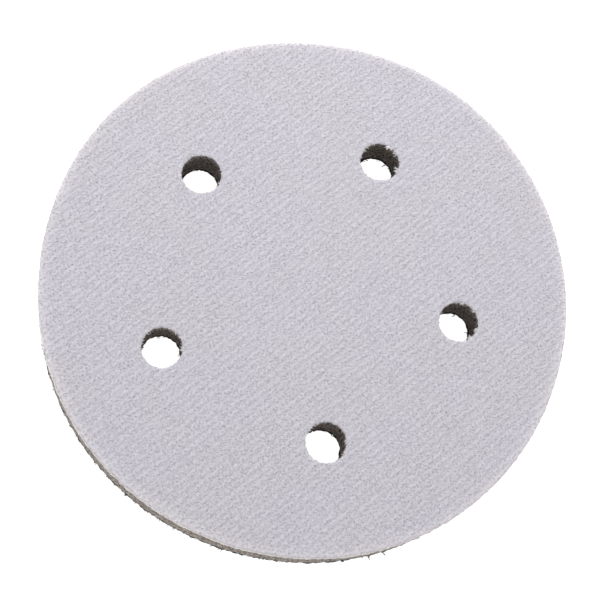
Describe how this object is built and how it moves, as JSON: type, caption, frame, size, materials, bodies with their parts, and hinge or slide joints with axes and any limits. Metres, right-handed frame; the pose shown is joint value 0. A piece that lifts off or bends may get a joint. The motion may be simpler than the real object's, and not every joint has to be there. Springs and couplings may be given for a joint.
{
  "type": "sander interface pad",
  "caption": "Round soft foam interface pad with a brushed loop face, a hook face and dust-extraction holes, fitted between a random orbital sander and its abrasive disc.",
  "frame": {"origin": "centre of the pad on the plane that its hook tips rest on", "axes": "+Z out of the loop face, towards the sander; +Y through the centre of the first dust hole; +X to the right, seen from above"},
  "size_m": [0.1254, 0.1254, 0.0116],
  "materials": {
    "hooks": "black nylon monofilament hooks",
    "hook_tape": "black woven nylon tape",
    "hook_film": "translucent hot-melt film",
    "foam": "open-celled grey polyurethane foam, die-cut",
    "loop_film": "translucent hot-melt film",
    "loop_knit": "cream warp-knit nylon ground",
    "loop_nap": "brushed pale lavender-grey nylon loops"
  },
  "bodies": {
    "root": {"hook_field": "hooks", "hook_tape_ground": "hook_tape", "hook_side_film": "hook_film", "foam_core": "foam", "loop_side_film": "loop_film", "loop_fabric_ground": "loop_knit", "loop_pile": "loop_nap"}
  },
  "joints": []
}
